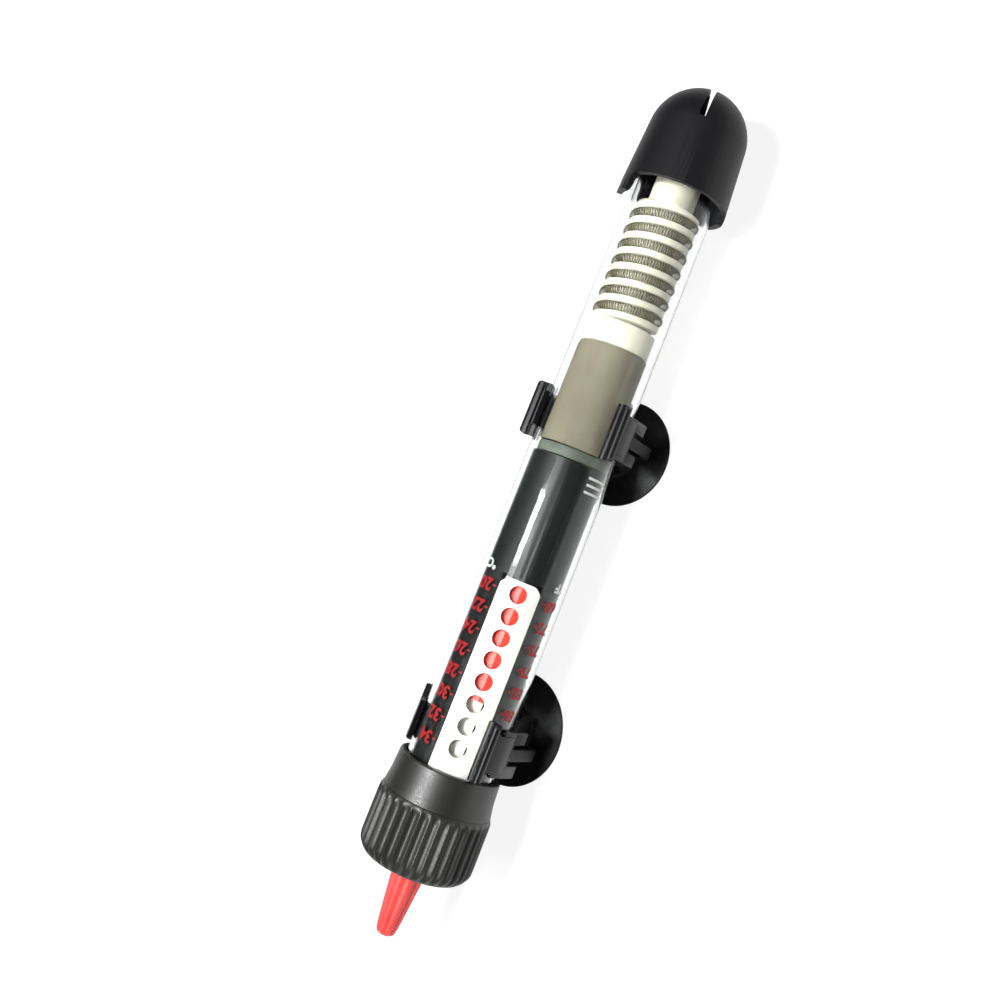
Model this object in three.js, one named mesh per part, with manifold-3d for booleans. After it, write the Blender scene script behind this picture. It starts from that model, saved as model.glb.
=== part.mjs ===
// Submersible aquarium heater, lying on its two suction cups.
// Millimetres. The glass tube lies along X: the closed, guarded end points to +X and the adjuster
// knob to -X. The suction cups face -Z and their lips lie on z = 0. The origin is on that plane,
// below the middle of the length.
// Lengthwise sizes are given as a distance from the guard's crown, so they grow towards the knob.

import * as THREE from 'three';
import * as BufferGeometryUtils from 'three/addons/utils/BufferGeometryUtils.js';
import Module from 'manifold-3d';

const wasm = await Module();
wasm.setup();

// ---------------------------------------------------------------- driving dimensions
const LENGTH = 251;              // crown of the guard to the tip of the knob
const AXIS_HEIGHT = 24.4;        // tube axis above the cups' lips
const GAP = 0.3;                 // clearance between neighbouring pieces
const FRONT = 124;               // direction that the scale faces, degrees from +Y towards +Z

const GLASS_R = 12.5;
const GLASS_WALL = 1.2;
const GLASS_INNER_R = GLASS_R - GLASS_WALL;
const GLASS_TOP = 14;            // closed end of the glass
const GLASS_MOUTH = 222;         // open end of the glass, inside the cap

const DOME_R = 14.8;             // guard: radius where the dome meets the skirt
const DOME_HEIGHT = 15.5;
const SKIRT_R = 16;
const SKIRT_EDGE = 34.1;
const TAB_EDGE = 39.5;
const SKIRT_FLARE = 0.15;        // extra radius at the tabs' tips
const GUARD_WALL = 1.7;

const COIL_START = 39.9;           // first turn of the heating coil
const COIL_TURNS = 7;
const COIL_PITCH = 4.85;
const COIL_R = 8.9;              // radius of the helix
const COIL_WIRE_R = 1.2;         // radius of the coiled wire
const COIL_STEPS = 14;           // straight steps in one turn
const LAND_R = 0.9;              // rounded land of the core between two turns

const SLEEVE_TOP = 83;
const SLEEVE_END = 113.1;
const SLEEVE_R = 10.25;
const FRAME_TOP = 116.8;         // control frame
const FRAME_END = 207;
const FRAME_R = 10.9;
const FRAME_WALL = 1.1;

const PLATE_TOP = 151.9;         // scale plate
const PLATE_R = 11;
const PLATE_THICK = 1.2;
const PLATE_HALF_ANGLE = 30.5;
const WINDOWS = 8;
const WINDOW_FIRST = 155.4;
const WINDOW_PITCH = 6.07;
const WINDOW_R = 2.4;

const SLIDE_END = 185;           // cap-side end of the red indicator, at its rest setting
const SLIDE_LENGTH = 47.4;
const SCREW_R = 1.5;

const COLLAR_RIM = 204.4;        // smooth collar of the cap
const COLLAR_RIM_R = 14.4;
const COLLAR_WAIST = 210.5;
const COLLAR_WAIST_R = 14.75;
const COLLAR_END_R = 15.35;
const RIBS_TOP = 214;            // ribbed cap
const CAP_END = 232;
const CAP_R = 16.05;
const CAP_RIBS = 36;
const CAP_RIB_DEPTH = 0.6;

const KNOB_R = 4.6;
const KNOB_TIP_R = 2.9;
const KNOB_FLUTES = 8;
const GLAND_OFFSET = 8.7;        // cord inlet, from the tube axis
const GLAND_R = 4;
const GLAND_BORE_R = 3;

const CLIP_R = 14.3;
const CLIP_WALL = 1.5;
const CLIP_WIDTH = 10;
const EAR_WIDTH = 16;
const EAR_R = 17.3;
const EAR_THICK = 2.2;
const EAR_BEAD_R = 1.3;          // rounded bead along the ear's edge
const CUP_R = 16.25;

// ---------------------------------------------------------------- helpers
const RADIAN = Math.PI / 180;
const CROWN_CUT = 0.2;           // the crown slots take this off the very tip
const CROWN_X = (LENGTH + CROWN_CUT) / 2;
const model = new THREE.Group();

function signedVolume(position, index) {
  const a = new THREE.Vector3();
  const b = new THREE.Vector3();
  const c = new THREE.Vector3();
  let volume = 0;
  for (let i = 0; i < index.length; i += 3) {
    a.fromBufferAttribute(position, index[i]);
    b.fromBufferAttribute(position, index[i + 1]);
    c.fromBufferAttribute(position, index[i + 2]);
    volume += a.dot(b.cross(c));
  }
  return volume;
}

// One closed skin: shared corners merged, flat triangles dropped, faces pointing out.
function closed(geometry) {
  const bare = geometry.index ? geometry : geometry.clone();
  bare.deleteAttribute('normal');
  bare.deleteAttribute('uv');
  const merged = BufferGeometryUtils.mergeVertices(bare, 1e-4);
  const old = merged.index.array;
  const kept = [];
  for (let i = 0; i < old.length; i += 3) {
    const [a, b, c] = [old[i], old[i + 1], old[i + 2]];
    if (a !== b && b !== c && c !== a) kept.push(a, b, c);
  }
  if (signedVolume(merged.attributes.position, kept) < 0) kept.reverse();
  merged.setIndex(kept);
  return merged;
}

function toSolid(geometry) {
  const skin = closed(geometry);
  return new wasm.Manifold(new wasm.Mesh({
    numProp: 3,
    vertProperties: new Float32Array(skin.attributes.position.array),
    triVerts: new Uint32Array(skin.index.array),
  }));
}

function fromSolid(solid) {
  const mesh = solid.getMesh();
  const geometry = new THREE.BufferGeometry();
  geometry.setAttribute('position', new THREE.BufferAttribute(new Float32Array(mesh.vertProperties), 3));
  geometry.setIndex(new THREE.BufferAttribute(new Uint32Array(mesh.triVerts), 1));
  return geometry;
}

function join(first, ...others) {
  return fromSolid(others.reduce((sum, other) => sum.add(toSolid(other)), toSolid(first)));
}

function cut(first, ...tools) {
  return fromSolid(tools.reduce((rest, tool) => rest.subtract(toSolid(tool)), toSolid(first)));
}

// Local solids have +Y along the tube, away from the crown; this lays them along the tube.
function alongTube(geometry) {
  return geometry.rotateZ(Math.PI / 2).translate(CROWN_X, 0, AXIS_HEIGHT);
}

// A turned solid: profile points are [distance from the crown, radius].
function turned(profile, segments = 40) {
  const points = profile.map(([distance, radius]) => new THREE.Vector2(radius, distance));
  return alongTube(new THREE.LatheGeometry(points, segments));
}

function ring(from, to, innerR, outerR, segments = 32) {
  return turned([[from, innerR], [from, outerR], [to, outerR], [to, innerR], [from, innerR]], segments);
}

function disc(from, to, radius, segments = 32) {
  return turned([[from, 0], [from, radius], [to, radius], [to, 0]], segments);
}

// A point of a quarter ellipse from the axis (0) to the full radius (1).
function arcPoint(share, start, length, radius) {
  const angle = share * Math.PI / 2;
  return [start + length * (1 - Math.cos(angle)), radius * Math.sin(angle)];
}

function dome(start, length, radius, steps) {
  return Array.from({ length: steps + 1 }, (_, i) => arcPoint(i / steps, start, length, radius));
}

// An outline in the plane across the tube, given as [y, z], carried from one distance to another.
function prism(outline, from, to, holes = []) {
  const shape = new THREE.Shape(outline.map(([y, z]) => new THREE.Vector2(y, z)));
  holes.forEach((hole) => shape.holes.push(hole));
  const solid = new THREE.ExtrudeGeometry(shape, { depth: to - from, bevelEnabled: false, curveSegments: 16 });
  solid.rotateX(Math.PI / 2).rotateZ(Math.PI / 2);
  return solid.translate(CROWN_X - to, 0, AXIS_HEIGHT);
}

function polar(radius, degrees) {
  return [radius * Math.cos(degrees * RADIAN), radius * Math.sin(degrees * RADIAN)];
}

function arc(radius, fromDegrees, toDegrees, steps) {
  return Array.from({ length: steps + 1 }, (_, i) => (
    polar(radius, fromDegrees + (toDegrees - fromDegrees) * i / steps)
  ));
}

// A curved wall: the part of a ring between two angles.
function sector(from, to, innerR, outerR, startDegrees, endDegrees) {
  const steps = Math.max(2, Math.ceil((endDegrees - startDegrees) / 7.5));
  const outer = arc(outerR, startDegrees, endDegrees, steps);
  const inner = arc(innerR, endDegrees, startDegrees, steps);
  return prism([...outer, ...inner], from, to);
}

// A box centred on a direction: out is its radial span, side its full width across.
function radialBox(from, to, outFrom, outTo, side, degrees) {
  const box = new THREE.BoxGeometry(to - from, outTo - outFrom, side);
  box.translate(CROWN_X - (from + to) / 2, (outFrom + outTo) / 2, 0);
  return box.rotateX(degrees * RADIAN).translate(0, 0, AXIS_HEIGHT);
}

// A round pin or bore pointing out from the tube axis.
function radialPin(distance, outFrom, outTo, radius, degrees, segments = 20) {
  const pin = new THREE.CylinderGeometry(radius, radius, outTo - outFrom, segments);
  pin.translate(0, (outFrom + outTo) / 2, 0);
  return pin.rotateX(degrees * RADIAN).translate(CROWN_X - distance, 0, AXIS_HEIGHT);
}

// A round pin or bore parallel to the tube, off its axis.
function sidePin(from, to, radius, offset, degrees, segments = 24) {
  const [y, z] = polar(offset, degrees);
  return disc(from, to, radius, segments).translate(0, y, z);
}

function rod(points, radius, sides, steps) {
  const section = new THREE.Shape(arc(radius, 0, 360 - 360 / sides, sides - 1)
    .map(([x, y]) => new THREE.Vector2(x, y)));
  const path = new THREE.CatmullRomCurve3(points);
  return new THREE.ExtrudeGeometry(section, { steps, extrudePath: path, bevelEnabled: false });
}

function add(name, geometry, color, roughness, metalness = 0) {
  const mesh = new THREE.Mesh(closed(geometry), new THREE.MeshStandardMaterial({ color, roughness, metalness }));
  mesh.name = name;
  model.add(mesh);
}

const BLACK = 0x242427;
const RED = 0xe6493f;
const STEEL = 0xa8a8a4;
const BRASS = 0xb08d4a;

// ---------------------------------------------------------------- guard and glass
// The skirt carries tabs: [direction from the front, half width, edge].
const TABS = [[-76, 17, 39], [110, 19, 36.2], [-140, 10, 35.5], [148, 8, 35.5]];
const DEEP_GAP = [-130, -93, 30.5];   // the gap beside the longest tab: directions, edge
const TRIM_R = [13, 18];              // radial span of the tools that trim the skirt
const GRIP_RIB_SPAN = [18, 32];
const SLOT_WIDTH = 2.1;
const SLOT_END = 13.4;
const SLOT_TURN = -5.5;
const GRIP_RIBS = 4;

function guardShell() {
  const outer = [...dome(0, DOME_HEIGHT, DOME_R, 6), [SKIRT_EDGE, SKIRT_R], [TAB_EDGE, SKIRT_R + SKIRT_FLARE]];
  const inner = [[TAB_EDGE, SKIRT_R + SKIRT_FLARE - GUARD_WALL], [SKIRT_EDGE, SKIRT_R - GUARD_WALL],
    ...dome(GUARD_WALL, DOME_HEIGHT - GUARD_WALL, DOME_R - GUARD_WALL, 5).reverse()];
  return turned([...outer, ...inner]);
}

// Everything past the skirt's edge goes, apart from the tabs.
function skirtWindows() {
  const sorted = TABS.map(([direction, half, edge]) => [FRONT + direction, half, edge])
    .sort((a, b) => a[0] - b[0]);
  const tools = [];
  sorted.forEach(([direction, half, edge], i) => {
    const next = sorted[(i + 1) % sorted.length];
    const nextDirection = i + 1 < sorted.length ? next[0] : next[0] + 360;
    tools.push(sector(SKIRT_EDGE, TAB_EDGE + 1, ...TRIM_R, direction + half, nextDirection - next[1]));
    tools.push(sector(edge, TAB_EDGE + 1, ...TRIM_R, direction - half - 1, direction + half + 1));
  });
  const [gapStart, gapStop, gapEdge] = DEEP_GAP;
  tools.push(sector(gapEdge, TAB_EDGE + 1, ...TRIM_R, FRONT + gapStart, FRONT + gapStop));
  return tools;
}

function crownSlots() {
  return [0, 90].map((turn) => {
    const slot = new THREE.BoxGeometry(SLOT_END + 1, 3 * DOME_R, SLOT_WIDTH);
    slot.translate(CROWN_X - (SLOT_END - 1) / 2, 0, 0);
    return slot.rotateX((FRONT + SLOT_TURN + turn) * RADIAN).translate(0, 0, AXIS_HEIGHT);
  });
}

function endGuard() {
  const ribs = Array.from({ length: GRIP_RIBS }, (_, i) => (
    radialBox(...GRIP_RIB_SPAN, GLASS_R + GAP, DOME_R - 0.6, 2, FRONT + 45 + i * 90)
  ));
  return cut(join(guardShell(), ...ribs), ...skirtWindows(), ...crownSlots());
}

function glassTube() {
  const outer = [...dome(GLASS_TOP, GLASS_R, GLASS_R, 6), [GLASS_MOUTH, GLASS_R]];
  const inner = dome(GLASS_TOP + GLASS_WALL, GLASS_INNER_R, GLASS_INNER_R, 6);
  return turned([...outer, [GLASS_MOUTH, GLASS_INNER_R], ...inner.reverse()]);
}

add('end_guard', endGuard(), BLACK, 0.6);
add('glass_tube', glassTube(), 0xe8efee, 0.03);

// ---------------------------------------------------------------- heater
const LEAD_R = 0.35;
const LEAD_ORBIT = 10.75;
const LEAD_END = 121;            // just inside the control section
const CORE_NECK_R = 6.8;
const CORE_BODY_R = COIL_R - COIL_WIRE_R - GAP;
const CORE_BASE_R = 9.9;
const CORE_BORE_R = 1.4;

const DIVIDER_R = 10.1;
const CORE_TOP = 18;
const CORE_END = 98;
const CORE_EDGE = 0.8;           // bevel at the core's top

// A round rod wound round the tube axis, with the coil's pitch.
function spiral(start, turns, orbit, radius) {
  const steps = turns * COIL_STEPS;
  const points = Array.from({ length: steps + 1 }, (_, i) => {
    const turn = i / COIL_STEPS;
    const [y, z] = polar(orbit, FRONT + 180 - turn * 360);
    return new THREE.Vector3(CROWN_X - start - turn * COIL_PITCH, y, AXIS_HEIGHT + z);
  });
  return rod(points, radius, 6, steps);
}

// A stepped core with a spiral land, so that the coil lies in a groove.
function ceramicCore() {
  const landStart = COIL_START - COIL_PITCH / 2;
  const landOrbit = CORE_BASE_R - LAND_R - GAP;
  const neckEnd = landStart - LAND_R - GAP;
  const coilEnd = COIL_START + COIL_TURNS * COIL_PITCH + COIL_WIRE_R + 2 * GAP;
  const body = turned([[CORE_TOP, CORE_BORE_R], [CORE_TOP, CORE_NECK_R - CORE_EDGE],
    [CORE_TOP + CORE_EDGE, CORE_NECK_R], [neckEnd, CORE_NECK_R], [neckEnd, CORE_BODY_R], [coilEnd, CORE_BODY_R],
    [coilEnd, CORE_BASE_R], [SLEEVE_TOP - GAP, CORE_BASE_R], [SLEEVE_TOP - GAP, SLEEVE_R - 2],
    [CORE_END, SLEEVE_R - 2], [CORE_END, CORE_BORE_R], [CORE_TOP, CORE_BORE_R]], 32);
  const lands = [landOrbit, landOrbit - LAND_R].map((orbit) => spiral(landStart, COIL_TURNS + 1, orbit, LAND_R));
  return join(body, ...lands);
}

// A bare lead running along the inside of the glass, at the back.
function coilLead(from, to, degrees) {
  const [y, z] = polar(LEAD_ORBIT, degrees);
  const points = [from, to].map((distance) => new THREE.Vector3(CROWN_X - distance, y, AXIS_HEIGHT + z));
  return rod(points, LEAD_R, 8, 4);
}

add('ceramic_core', ceramicCore(), 0xe1e1cd, 0.8);
// The resistance wire: one long coil wound in turns round the core.
add('heating_coil', spiral(COIL_START, COIL_TURNS, COIL_R, COIL_WIRE_R), 0x5a553c, 0.45, 0.8);
add('coil_lead_a', coilLead(COIL_START - 2, LEAD_END, FRONT + 190), STEEL, 0.35, 0.9);
add('coil_lead_b', coilLead(COIL_START + COIL_TURNS * COIL_PITCH, LEAD_END, FRONT + 160), STEEL, 0.35, 0.9);
add('heat_shield_sleeve', ring(SLEEVE_TOP, SLEEVE_END, SLEEVE_R - 1.2, SLEEVE_R), 0x87857a, 0.85);
add('divider_disc', disc(SLEEVE_END + GAP, FRAME_TOP - GAP, DIVIDER_R), 0x6f756a, 0.7);

// ---------------------------------------------------------------- control section
const FRAME_SPAN = [FRONT - 150, FRONT + 70];
const BULKHEAD = 2;
const BULKHEAD_R = 10.1;
const DECK_TOP = -3.8;           // deck and its parts: heights from the tube axis towards the front
const DECK_THICK = 1.2;
const DECK_SIDES = [-9.2, 7.5];
const POST = [120, 124];         // lengthwise spans and places on the deck
const STRIP_END = 152;
const BLADE_END = 150;
const CONTACT_AT = 146;
const CONTACT_R = 1.3;
const MAGNET = [149, 152];
const LAMP = [126, 135];
const RESISTOR = [137, 144];
const TERMINAL = [197, 203];
const SPINDLE_R = 2;

// A box given by its spans along the tube, towards the front and to the side.
function block(from, to, frontFrom, frontTo, sideFrom, sideTo) {
  const box = new THREE.BoxGeometry(to - from, frontTo - frontFrom, sideTo - sideFrom);
  box.translate(CROWN_X - (from + to) / 2, (frontFrom + frontTo) / 2, (sideFrom + sideTo) / 2);
  return box.rotateX(FRONT * RADIAN).translate(0, 0, AXIS_HEIGHT);
}

// A round pin along the tube, placed by its distance to the front and to the side.
function lengthPin(from, to, radius, front, side, segments = 20) {
  const pin = disc(from, to, radius, segments).translate(0, front, side - AXIS_HEIGHT);
  return pin.rotateX(FRONT * RADIAN).translate(0, 0, AXIS_HEIGHT);
}

function controlFrame() {
  const innerR = FRAME_R - FRAME_WALL;
  const plateStart = PLATE_TOP - 0.6;
  const beside = PLATE_HALF_ANGLE + 2;
  const parts = [
    sector(FRAME_TOP, plateStart, innerR, FRAME_R, ...FRAME_SPAN),
    sector(plateStart - 1, FRAME_END, innerR, FRAME_R, FRAME_SPAN[0], FRONT - beside),
    sector(plateStart - 1, FRAME_END, innerR, FRAME_R, FRONT + beside, FRAME_SPAN[1]),
    disc(FRAME_TOP, FRAME_TOP + BULKHEAD, BULKHEAD_R),
    disc(FRAME_END - BULKHEAD, FRAME_END, BULKHEAD_R),
    block(FRAME_TOP, FRAME_END, DECK_TOP - DECK_THICK, DECK_TOP, ...DECK_SIDES),
  ];
  return cut(join(...parts), disc(FRAME_END - BULKHEAD - 1, FRAME_END + 1, SPINDLE_R + GAP));
}

function windowDistance(i) {
  return WINDOW_FIRST + i * WINDOW_PITCH;
}

// The plate's open-sided channel: a wall down one side and a white back, which the red strip slides on.
const CHANNEL_R = PLATE_R - 2.9;
const CHANNEL_THICK = 0.9;
const CHANNEL_SIDE = [-28, -24];
const CHANNEL_BACK_END = 14;

function scalePlate() {
  const innerR = PLATE_R - PLATE_THICK;
  const end = FRAME_END - BULKHEAD - GAP;
  const backR = CHANNEL_R - CHANNEL_THICK;
  const plate = sector(PLATE_TOP, end, innerR, PLATE_R, FRONT - PLATE_HALF_ANGLE, FRONT + PLATE_HALF_ANGLE);
  const side = sector(PLATE_TOP, end, backR, innerR + 0.2, FRONT + CHANNEL_SIDE[0], FRONT + CHANNEL_SIDE[1]);
  const back = sector(PLATE_TOP, end, backR, CHANNEL_R, FRONT + CHANNEL_SIDE[1] - 1, FRONT + CHANNEL_BACK_END);
  const holes = Array.from({ length: WINDOWS }, (_, i) => (
    radialPin(windowDistance(i), innerR - 1, PLATE_R + 2, WINDOW_R, FRONT, 16)
  ));
  return join(cut(plate, ...holes), side, back);
}

// The red strip behind the windows, with the nut that rides on the lead screw and the web between.
const SLIDE_R = PLATE_R - PLATE_THICK - GAP;
const SLIDE_THICK = 1.1;
const NUT_CENTRE = SLIDE_END - 9;
const NUT_LENGTH = 5;
const WEB_SIDE = 2.25;           // the web passes the channel's open side
const WEB_THICK = 0.8;

function indicatorSlide() {
  const innerR = SLIDE_R - SLIDE_THICK;
  const strip = sector(SLIDE_END - SLIDE_LENGTH, SLIDE_END, innerR, SLIDE_R, FRONT - 22, FRONT + 22);
  const nutFrom = NUT_CENTRE - NUT_LENGTH / 2;
  const nutTo = NUT_CENTRE + NUT_LENGTH / 2;
  const nut = disc(nutFrom, nutTo, SCREW_R + 1.7, 24);
  const web = block(nutFrom, nutTo, 0.6, innerR + 0.2, WEB_SIDE, WEB_SIDE + WEB_THICK);
  return cut(join(strip, nut, web), disc(nutFrom - 1, nutTo + 1, SCREW_R + GAP, 24));
}

function settingBlade() {
  return join(block(...POST, 1.3, 1.8, -6, 2), block(POST[1] - 1, BLADE_END, 1.3, 1.8, -2, 2));
}

add('control_frame', controlFrame(), 0x26282a, 0.5);
add('scale_plate', scalePlate(), 0xf5f5f0, 0.5);
add('indicator_slide', indicatorSlide(), 0xe1483a, 0.5);
add('bimetal_post', block(...POST, DECK_TOP + GAP, -1.6, -2.5, 2.5), BRASS, 0.35, 0.9);
add('bimetal_strip', block(POST[0], STRIP_END, -1.3, -0.7, -2.5, 2.5), STEEL, 0.35, 0.9);
add('moving_contact', radialPin(CONTACT_AT, -2.4, -1.6, CONTACT_R, FRONT), 0xd0d0d0, 0.25, 1);
add('fixed_contact', radialPin(CONTACT_AT, DECK_TOP + GAP, -2.7, CONTACT_R, FRONT), 0xd0d0d0, 0.25, 1);
add('magnet', block(...MAGNET, DECK_TOP + GAP, -2.2, -2, 2), 0x4a4a4c, 0.4, 0.6);
add('blade_post', block(...POST, DECK_TOP + GAP, 1, -6, -3.5), BRASS, 0.35, 0.9);
add('setting_blade', settingBlade(), STEEL, 0.35, 0.9);
add('neon_lamp', lengthPin(...LAMP, 1.9, -1.5, 5.2), 0xf0b090, 0.1);
add('lamp_resistor', lengthPin(...RESISTOR, 1.1, -2.3, 5.2), 0xc8b48c, 0.6);
add('terminal_a', block(...TERMINAL, DECK_TOP + GAP, -0.8, -6.2, -3.2), BRASS, 0.35, 0.9);
add('terminal_b', block(...TERMINAL, DECK_TOP + GAP, -0.8, 3.2, 6.2), BRASS, 0.35, 0.9);

// ---------------------------------------------------------------- cap and knob
const SPIGOT_R = 14;
const CAP_WALL_START = 225.6;
const CAP_BORE_R = SPIGOT_R + GAP;
const GLAND_DIRECTION = FRONT + 180;
const SEAT_R = 3.3;              // bore round the spindle, in the cap's end wall
const STOPPER = [209, 224.9];
const WIRE_BORE_R = 0.8;
const WIRE_BORE_OFFSET = 8;
const SPINDLE = [207.6, 239.7];
const KNOB_SOCKET_END = 240;
const BUSH = [230.2, 231.8];
const SEAL_AT = 228.6;
const SCREW = [153, 207.3];

function capCollar() {
  const innerR = GLASS_R + 0.35;
  const end = CAP_WALL_START - GAP - 0.1;
  const shoulder = RIBS_TOP - GAP;
  return turned([[COLLAR_RIM, innerR], [COLLAR_RIM, COLLAR_RIM_R - 0.4], [COLLAR_RIM + 0.4, COLLAR_RIM_R],
    [COLLAR_WAIST, COLLAR_WAIST_R], [shoulder, COLLAR_END_R], [shoulder, SPIGOT_R], [end, SPIGOT_R], [end, innerR],
    [COLLAR_RIM, innerR]]);
}

// Ribs by a toothed outline, rounded off by a turned envelope.
function ribbedCap() {
  const valley = CAP_R - CAP_RIB_DEPTH;
  const pitch = 360 / CAP_RIBS;
  const outline = [];
  for (let i = 0; i < CAP_RIBS; i += 1) {
    outline.push(polar(valley, i * pitch), polar(CAP_R, (i + 0.25) * pitch));
    outline.push(polar(CAP_R, (i + 0.55) * pitch), polar(valley, (i + 0.8) * pitch));
  }
  const ribbed = toSolid(prism(outline, RIBS_TOP, CAP_END));
  const envelope = turned([[RIBS_TOP, 0], [RIBS_TOP, COLLAR_END_R + 0.3], [RIBS_TOP + 1.2, CAP_R + 0.1],
    [CAP_END - 4, CAP_R + 0.1], [CAP_END - 2.2, CAP_R - 0.5], [CAP_END - 0.8, CAP_R - 1.4], [CAP_END, CAP_R - 2.6],
    [CAP_END, 0]]);
  const body = fromSolid(ribbed.intersect(toSolid(envelope)));
  return cut(body,
    disc(RIBS_TOP - 1, CAP_WALL_START, CAP_BORE_R),
    disc(CAP_WALL_START - 1, CAP_END + 1, SEAT_R, 24),
    sidePin(CAP_WALL_START - 1, CAP_END + 1, GLAND_R + GAP, GLAND_OFFSET, GLAND_DIRECTION));
}

function cordGland() {
  const body = sidePin(CAP_WALL_START, CAP_END - 0.1, GLAND_R, GLAND_OFFSET, GLAND_DIRECTION);
  return cut(body, sidePin(CAP_WALL_START - 1, CAP_END + 1, GLAND_BORE_R, GLAND_OFFSET, GLAND_DIRECTION));
}

// A flanged plug with a bore for the spindle and two for the wires.
function rubberStopper() {
  const [begin, end] = STOPPER;
  const flangeR = GLASS_R - 0.2;
  const body = turned([[begin, 0], [begin, 10.5], [begin + 1, GLASS_INNER_R - GAP], [GLASS_MOUTH + GAP, 11],
    [GLASS_MOUTH + GAP, flangeR], [end, flangeR], [end, 0]]);
  const wires = [-14, 14].map((turn) => (
    sidePin(begin - 1, end + 1, WIRE_BORE_R, WIRE_BORE_OFFSET, GLAND_DIRECTION + turn, 12)
  ));
  return cut(body, disc(begin - 1, end + 1, SPINDLE_R + GAP, 24), ...wires);
}

// A tapered grip with rounded flutes and a rounded tip.
function adjusterKnob() {
  const base = CAP_END + 0.4;
  const profile = [[base, 0], [base, KNOB_R], [236, KNOB_R - 0.05], [242, 3.85], [LENGTH - 2, KNOB_TIP_R],
    [LENGTH - 0.9, KNOB_TIP_R - 0.35], [LENGTH - 0.2, KNOB_TIP_R - 1.1], [LENGTH, 0]];
  const body = turned(profile, KNOB_FLUTES * 4);
  const position = body.attributes.position;
  for (let i = 0; i < position.count; i += 1) {
    const y = position.getY(i);
    const z = position.getZ(i) - AXIS_HEIGHT;
    const wave = Math.cos(KNOB_FLUTES * (Math.atan2(z, y) - FRONT * RADIAN));
    const share = 1 - 0.045 * (1 + wave);
    position.setY(i, y * share);
    position.setZ(i, AXIS_HEIGHT + z * share);
  }
  return cut(body, disc(base - 1, KNOB_SOCKET_END, SPINDLE_R + GAP, 24));
}

function oRing(distance, innerR, outerR) {
  const centreR = (innerR + outerR) / 2;
  const sectionR = (outerR - innerR) / 2;
  const profile = Array.from({ length: 9 }, (_, i) => {
    const angle = i * 45 * RADIAN;
    return [distance + sectionR * Math.cos(angle), centreR + sectionR * Math.sin(angle)];
  });
  return turned(profile, 16);
}

add('cap_collar', capCollar(), BLACK, 0.35);
add('ribbed_cap', ribbedCap(), BLACK, 0.4);
add('cord_gland', cordGland(), 0x1c1c1e, 0.8);
add('rubber_stopper', rubberStopper(), 0x303032, 0.85);
add('spindle_bush', ring(...BUSH, SPINDLE_R + 0.1, SEAT_R - 0.2, 24), BRASS, 0.35, 0.9);
add('spindle_seal', oRing(SEAL_AT, SPINDLE_R + 0.1, SEAT_R - 0.1), 0x1c1c1e, 0.8);
add('adjuster_knob', adjusterKnob(), RED, 0.35);
add('spindle', disc(...SPINDLE, SPINDLE_R, 24), STEEL, 0.3, 0.9);
add('lead_screw', disc(...SCREW, SCREW_R, 24), STEEL, 0.35, 0.9);

// ---------------------------------------------------------------- clips and suction cups
const BRACKET_WIDTH = 11;
const BRACKET_HALF = 8;
const BRACKET_WALL = 1.8;
const PLATE_LOW = 4.6;           // underside of the bracket's plate above the lips
const WEB_TOP = 12.6;
const STEM_R = 2.6;
const FINGER_WIDTH = 3.4;
const FINGERS_HALF = 6.3;        // half width of the three fingers together
const FINGER_OUT = 13.9;         // outer face at the root, sideways from the tube axis
const FINGER_LEAN = 1.3;         // the middle finger's tip stands in by this
const FINGER_TOP = 2;            // heights from the tube axis
const FINGER_ROOT = -4;
const SIDE_FINGER_END = -10.8;

// The bracket hangs below the ring; its plate is set off along the tube by the shift.
function clipBracket(centre, shift) {
  const low = PLATE_LOW - AXIS_HEIGHT;
  const top = WEB_TOP - AXIS_HEIGHT;
  const inside = BRACKET_HALF - BRACKET_WALL;
  const outline = [[-BRACKET_HALF, top], [-BRACKET_HALF, low], [BRACKET_HALF, low], [BRACKET_HALF, top],
    [inside, top], [inside, low + BRACKET_WALL], [-inside, low + BRACKET_WALL], [-inside, top]];
  const half = BRACKET_WIDTH / 2;
  const bracket = closed(prism(outline, centre - half, centre + half));
  const position = bracket.attributes.position;
  for (let i = 0; i < position.count; i += 1) {
    if (position.getZ(i) < WEB_TOP - 1) position.setX(i, position.getX(i) + shift);
  }
  return bracket;
}

// On both sides three fingers hang from the ring; the middle one turns in and joins the bracket's plate.
function clipFingers(centre) {
  const low = PLATE_LOW - AXIS_HEIGHT;
  const [outer, inner] = [-FINGER_OUT, CLIP_WALL - FINGER_OUT];
  const foot = 1 - BRACKET_HALF;
  const middle = [[outer, FINGER_ROOT], [inner, FINGER_ROOT], [inner + FINGER_LEAN, low + BRACKET_WALL],
    [foot, low + BRACKET_WALL], [foot, low], [outer + FINGER_LEAN, low]];
  const side = [[outer, FINGER_ROOT], [inner, FINGER_ROOT], [inner + FINGER_LEAN / 2, SIDE_FINGER_END],
    [outer + FINGER_LEAN / 2, SIDE_FINGER_END]];
  const back = CLIP_WALL - CLIP_R;
  const web = [[outer, FINGER_TOP], [back, FINGER_TOP], [back, FINGER_ROOT - 0.5], [outer, FINGER_ROOT - 0.5]];
  const solids = [
    prism(middle, centre - FINGER_WIDTH / 2, centre + FINGER_WIDTH / 2),
    prism(side, centre - FINGERS_HALF, centre - FINGERS_HALF + FINGER_WIDTH),
    prism(side, centre + FINGERS_HALF - FINGER_WIDTH, centre + FINGERS_HALF),
    prism(web, centre - FINGERS_HALF, centre + FINGERS_HALF),
  ];
  return [...solids, ...solids.map((solid) => solid.clone().scale(1, -1, 1))];
}

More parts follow.
